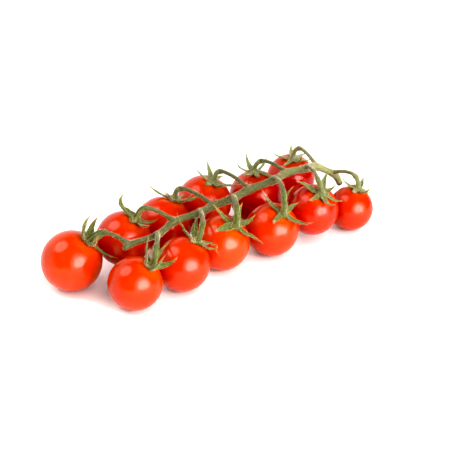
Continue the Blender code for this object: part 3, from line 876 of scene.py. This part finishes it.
def green_stem(settings):
    """Live stem: juicy green rind under a felt of short hairs, so it is matt with a pale bloom at its
    rims.

    Darker streaks about 0.4 mm wide run along it. It yellows towards the cut end, which has dried brown."""
    made, tree, shader = new_material("green_stem", {
        "IOR": 1.4, "Subsurface Weight": 0.15, "Subsurface Radius": (0.5, 0.8, 0.2),
        "Subsurface Scale": 0.001, "Sheen Weight": 0.4, "Sheen Roughness": 0.4,
        "Sheen Tint": rgba(settings.fuzz)})
    place = add_node(tree, "ShaderNodeTexCoord").outputs["Object"]
    grid = add_node(tree, "ShaderNodeUVMap", uv_map="Surface").outputs[0]
    stretched = add_node(tree, "ShaderNodeMapping", {
        "Vector": grid, "Scale": (STREAKS_ROUND, STREAKS_ALONG, 1.0)})
    streaks = add_node(tree, "ShaderNodeTexNoise", {
        "Vector": stretched.outputs[0], "Scale": 1.0, "Detail": 3.0})
    # Age is the share of the way from the tip to the cut end.
    age = add_node(tree, "ShaderNodeAttribute", attribute_name="mark").outputs["Fac"]
    old = add_node(tree, "ShaderNodeMapRange", {0: age, 1: 0.62, 2: 0.95})
    streak = add_node(tree, "ShaderNodeMapRange", {0: streaks.outputs[0], 1: 0.4, 2: 0.75, 4: 0.6})
    cut = add_node(tree, "ShaderNodeMapRange", {0: age, 1: 0.988, 2: 0.996})
    colour = rgba(settings.young)
    for share, over in ((old, settings.old), (streak, settings.shade), (cut, settings.cut)):
        colour = add_node(tree, "ShaderNodeMix", {0: share.outputs[0], 6: colour, 7: rgba(over)},
                          data_type="RGBA").outputs[2]
    felt = add_node(tree, "ShaderNodeTexNoise", {
        "Vector": place, "Scale": scale_for(FELT_GRAIN), "Detail": 2.0})
    rough = add_node(tree, "ShaderNodeMapRange", {0: felt.outputs[0], 3: 0.5, 4: 0.75})
    relief = add_node(tree, "ShaderNodeMath", {0: felt.outputs[0], 1: streaks.outputs[0]}, operation="ADD")
    bump = add_node(tree, "ShaderNodeBump", {
        "Strength": 0.4, "Distance": 0.0002, "Height": relief.outputs[0]})
    set_inputs(shader, {"Base Color": colour, "Roughness": rough.outputs[0], "Normal": bump.outputs[0]})
    return made


def tomato_sepal(settings, fuzz):
    """A tomato's sepal: a thin soft leaf, hairy and matt, that lets a little light through.

    The midrib and the slanting veins are paler, the edge is thin and yellowish, and the tip has dried
    tan."""
    made, tree, shader = new_material("tomato_sepal", {
        "IOR": 1.4, "Subsurface Weight": 0.5, "Subsurface Radius": (0.7, 1.0, 0.25),
        "Subsurface Scale": 0.0012, "Sheen Weight": 0.35, "Sheen Roughness": 0.4,
        "Sheen Tint": rgba(fuzz)})
    place = add_node(tree, "ShaderNodeTexCoord").outputs["Object"]
    mottle = add_node(tree, "ShaderNodeTexNoise", {
        "Vector": place, "Scale": scale_for(SEPAL_MOTTLE), "Detail": 4.0})
    dark = add_node(tree, "ShaderNodeMapRange", {0: mottle.outputs[0], 1: 0.4, 2: 0.7, 4: 0.8})
    down = add_node(tree, "ShaderNodeVectorMath", {0: place, 1: PALING_WAY}, operation="DOT_PRODUCT")
    paling = add_node(tree, "ShaderNodeMapRange", {
        0: down.outputs["Value"], 1: PALING_START, 2: PALING_END, 4: MOST_PALING})
    grid = add_node(tree, "ShaderNodeUVMap", uv_map="Surface").outputs[0]
    across, along_sepal, _ = add_node(tree, "ShaderNodeSeparateXYZ", {0: grid}).outputs
    # Off is 0 at the midrib and 0.5 at either edge.
    aside = add_node(tree, "ShaderNodeMath", {0: across, 1: 0.5}, operation="SUBTRACT")
    off = add_node(tree, "ShaderNodeMath", {0: aside.outputs[0]}, operation="ABSOLUTE").outputs[0]
    slant = add_node(tree, "ShaderNodeMath", {0: along_sepal, 1: 2 * VEINS, 2: off},
                     operation="MULTIPLY_ADD")
    wave = add_node(tree, "ShaderNodeMath", {0: slant.outputs[0], 1: 1.0}, operation="PINGPONG")
    veins = add_node(tree, "ShaderNodeMapRange", {0: wave.outputs[0], 1: 0.14, 2: 0.02, 4: 0.3})
    rib = add_node(tree, "ShaderNodeMapRange", {0: off, 1: 0.09, 2: 0.03, 4: 0.8})
    lines = add_node(tree, "ShaderNodeMath", {0: veins.outputs[0], 1: rib.outputs[0]}, operation="MAXIMUM")
    rim = add_node(tree, "ShaderNodeMapRange", {0: off, 1: 0.38, 2: 0.5, 4: 0.8})
    # The dry part starts at about 0.9 of the length of the greenest sepals and 0.7 of the driest.
    dryness = add_node(tree, "ShaderNodeAttribute", attribute_name="mark").outputs["Fac"]
    reach = add_node(tree, "ShaderNodeMath", {0: dryness, 1: 0.22, 2: along_sepal},
                     operation="MULTIPLY_ADD")
    uneven = add_node(tree, "ShaderNodeMath", {0: mottle.outputs[0], 1: 0.2, 2: reach.outputs[0]},
                      operation="MULTIPLY_ADD")
    dry = add_node(tree, "ShaderNodeMapRange", {0: uneven.outputs[0], 1: 1.0, 2: 1.22})
    colour = rgba(settings.face)
    for share, over in ((dark, settings.dark), (paling, settings.pale), (lines, settings.vein),
                        (rim, settings.edge), (dry, settings.tip)):
        colour = add_node(tree, "ShaderNodeMix", {0: share.outputs[0], 6: colour, 7: rgba(over)},
                          data_type="RGBA").outputs[2]
    rough = add_node(tree, "ShaderNodeMapRange", {0: mottle.outputs[0], 3: 0.45, 4: 0.7})
    relief = add_node(tree, "ShaderNodeMath", {0: lines.outputs[0], 1: mottle.outputs[0]}, operation="ADD")
    bump = add_node(tree, "ShaderNodeBump", {
        "Strength": 0.4, "Distance": 0.0002, "Height": relief.outputs[0]})
    set_inputs(shader, {"Base Color": colour, "Roughness": rough.outputs[0], "Normal": bump.outputs[0]})
    return made


def plant_hair(settings):
    """Plant hairs: clear, water-filled and very thin, so they look pale and soft."""
    return new_material("plant_hair", {"Roughness": 0.5, "IOR": 1.35, "Base Color": rgba(settings.fuzz)})[0]


def white_board(settings):
    """Painted board: matt white, with a hint of unevenness that shows only in its shine."""
    made, tree, shader = new_material("painted_white_board", {
        "IOR": 1.45, "Base Color": rgba(settings.floor), "Specular IOR Level": 0.3})
    place = add_node(tree, "ShaderNodeTexCoord").outputs["Object"]
    paint = add_node(tree, "ShaderNodeTexNoise", {
        "Vector": place, "Scale": scale_for(PAINT_PATCH), "Detail": 2.0})
    rough = add_node(tree, "ShaderNodeMapRange", {0: paint.outputs[0], 3: 0.55, 4: 0.7})
    set_inputs(shader, {"Roughness": rough.outputs[0]})
    return made


def settings_of(context):
    """The truss's settings."""
    return context.scene.tomato_truss


class TRUSS_OT_tomatoes(Operator):
    """Add the twelve tomatoes"""

    bl_idname = "truss.tomatoes"
    bl_label = "Tomatoes"

    def execute(self, context):
        settings = settings_of(context).fruit
        finish = ripe_tomato_skin(settings)
        draw = np.random.default_rng(FRUIT_SEED)
        for number, (tomato, ripeness) in enumerate(zip(TRUSS, RIPENESS), start=1):
            mesh = surfaces_mesh(f"cherry_tomato_{number:02d}",
                                 [fruit_surface(tomato, ripeness, settings.unevenness, draw)])
            add_piece(mesh.name, mesh, finish, [f"tomato_{number:02d}"])
        return {"FINISHED"}


class TRUSS_OT_stem(Operator):
    """Add the main stem with the near parts of the stalks, and their fuzz"""

    bl_idname = "truss.stem"
    bl_label = "Main stem"

    def execute(self, context):
        settings = settings_of(context).stem
        draw = np.random.default_rng(STEM_SEED)
        mesh = surfaces_mesh("stem", stem_surfaces(draw))
        places, normals = scattered(mesh, settings.fuzz_spacing, draw)
        add_piece("stem", mesh, green_stem(settings), ["main_stem"])
        fuzz = fuzz_mesh("stem_fuzz", places, normals, settings.fuzz_length, draw)
        add_piece("stem_fuzz", fuzz, plant_hair(settings))
        return {"FINISHED"}


class TRUSS_OT_calyxes(Operator):
    """Add a calyx with its length of stalk to each tomato, and their fuzz"""

    bl_idname = "truss.calyxes"
    bl_label = "Calyxes"

    def execute(self, context):
        settings = settings_of(context)
        thickness = settings.calyx.thickness / MM
        leaf = tomato_sepal(settings.calyx, settings.stem.fuzz)
        hair = plant_hair(settings.stem)
        draw = np.random.default_rng(CALYX_SEED)
        for number, tomato in enumerate(TRUSS, start=1):
            surfaces = [neck_surface(tomato, draw), hub_surface(tomato)]
            surfaces += [sepal_surface(tomato, sepal, thickness, draw) for sepal in tomato.sepals]
            mesh = surfaces_mesh(f"sepals_{number:02d}", surfaces)
            places, normals = scattered(mesh, settings.stem.fuzz_spacing, draw)
            add_piece(mesh.name, mesh, leaf, [f"calyx_{number:02d}"])
            fuzz = fuzz_mesh(f"sepal_fuzz_{number:02d}", places, normals, settings.stem.fuzz_length, draw)
            add_piece(fuzz.name, fuzz, hair)
        return {"FINISHED"}


def add_floor(settings):
    """A flat square just below the truss."""
    mesh = bpy.data.meshes.new("floor")
    corners = np.array([(-1, -1, 0), (1, -1, 0), (1, 1, 0), (-1, 1, 0)]) * FLOOR_REACH
    mesh.from_pydata(corners - (0, 0, FLOOR_GAP), [], [(0, 1, 2, 3)])
    mesh.materials.append(white_board(settings))
    floor = bpy.data.objects.new("floor", mesh)
    bpy.context.scene.collection.objects.link(floor)


def light_world(settings):
    """Light from all around, with a bright side and a dim side. What the camera sees of it past the
    floor is white at least, as the floor is."""
    world = bpy.data.worlds.new("studio")
    world.use_nodes = True
    tree = world.node_tree
    way = add_node(tree, "ShaderNodeTexCoord").outputs["Generated"]
    towards = add_node(tree, "ShaderNodeVectorMath", {0: way, 1: BRIGHT_WAY}, operation="DOT_PRODUCT")
    level = add_node(tree, "ShaderNodeMapRange", {
        0: towards.outputs["Value"], 1: -HALF_BLEND, 2: HALF_BLEND, 3: settings.dim, 4: settings.bright})
    seen = add_node(tree, "ShaderNodeLightPath").outputs["Is Camera Ray"]
    shown = add_node(tree, "ShaderNodeMath", {0: seen, 1: level.outputs[0]}, operation="MAXIMUM")
    set_inputs(tree.nodes["Background"], {"Strength": shown.outputs[0], "Color": rgba((1.0, 1.0, 1.0))})
    bpy.context.scene.world = world


def add_softbox(name, way, size, distance, brightness):
    """A round area light at a distance along a direction, facing the truss. Its power grows with its
    area, so that its face has the brightness given, whatever its size."""
    light = bpy.data.lights.new(name, "AREA")
    light.shape = "DISK"
    light.size = size
    light.energy = brightness * (math.pi * size / 2) ** 2
    lamp = bpy.data.objects.new(name, light)
    way = Vector(way).normalized()
    lamp.location = way * distance
    lamp.rotation_euler = way.to_track_quat("Z", "Y").to_euler()
    lamp.visible_camera = False
    bpy.context.scene.collection.objects.link(lamp)
    return lamp


def add_camera():
    """The camera, which looks at the truss as the photograph's did."""
    camera = bpy.data.objects.new("camera", bpy.data.cameras.new("camera"))
    camera.location = CAMERA_PLACE
    camera.rotation_euler = (math.radians(90 + CAMERA_PITCH), 0, math.radians(CAMERA_HEADING))
    camera.data.lens = CAMERA_LENS
    camera.data.sensor_width = CAMERA_SENSOR
    camera.data.clip_start = NEAREST_SEEN
    bpy.context.scene.collection.objects.link(camera)
    bpy.context.scene.camera = camera


def set_view(view):
    """The photograph's contrast: a brighter picture with darker midtones and deeper blacks."""
    view.view_transform = "Standard"
    view.exposure = EXPOSURE
    view.gamma = VIEW_GAMMA
    view.use_curve_mapping = True
    view.curve_mapping.black_level = (BLACK_POINT,) * 3
    view.curve_mapping.update()


class TRUSS_OT_stage(Operator):
    """Add the floor, the light and the camera"""

    bl_idname = "truss.stage"
    bl_label = "Stage"

    def execute(self, context):
        settings = settings_of(context).stage
        add_floor(settings)
        light_world(settings)
        add_softbox("key", KEY_WAY, KEY_SIZE, KEY_DISTANCE, settings.key)
        add_softbox("key_surround", KEY_WAY, SURROUND_SIZE, SURROUND_DISTANCE,
                    settings.key * SURROUND_SHARE)
        add_softbox("top", TOP_WAY, TOP_SIZE, TOP_DISTANCE, settings.top)
        fill = add_softbox("fill", FILL_WAY, FILL_SIZE, FILL_DISTANCE, settings.fill)
        fill.visible_glossy = False
        add_camera()
        set_view(context.scene.view_settings)
        return {"FINISHED"}


class TRUSS_PT_panel(Panel):
    """The truss's settings and pieces"""

    bl_idname = "TRUSS_PT_panel"
    bl_label = "Tomato Truss"
    bl_space_type = "VIEW_3D"
    bl_region_type = "UI"
    bl_category = "Truss"

    def draw(self, context):
        settings = settings_of(context)
        groups = ((settings.fruit, TRUSS_OT_tomatoes), (settings.stem, TRUSS_OT_stem),
                  (settings.calyx, TRUSS_OT_calyxes), (settings.stage, TRUSS_OT_stage))
        for group, operator in groups:
            box = self.layout.box()
            for name in group.bl_rna.properties.keys():
                if name not in ("rna_type", "name"):
                    box.prop(group, name)
            box.operator(operator.bl_idname)


CLASSES = (FruitSettings, StemSettings, CalyxSettings, StageSettings, TrussSettings,
           TRUSS_OT_tomatoes, TRUSS_OT_stem, TRUSS_OT_calyxes, TRUSS_OT_stage, TRUSS_PT_panel)


def register():
    for made in CLASSES:
        bpy.utils.register_class(made)
    bpy.types.Scene.tomato_truss = PointerProperty(type=TrussSettings)


def unregister():
    del bpy.types.Scene.tomato_truss
    for made in reversed(CLASSES):
        bpy.utils.unregister_class(made)


def main():
    register()
    bpy.ops.truss.tomatoes()
    bpy.ops.truss.stem()
    bpy.ops.truss.calyxes()
    bpy.ops.truss.stage()


if __name__ == "__main__":
    main()
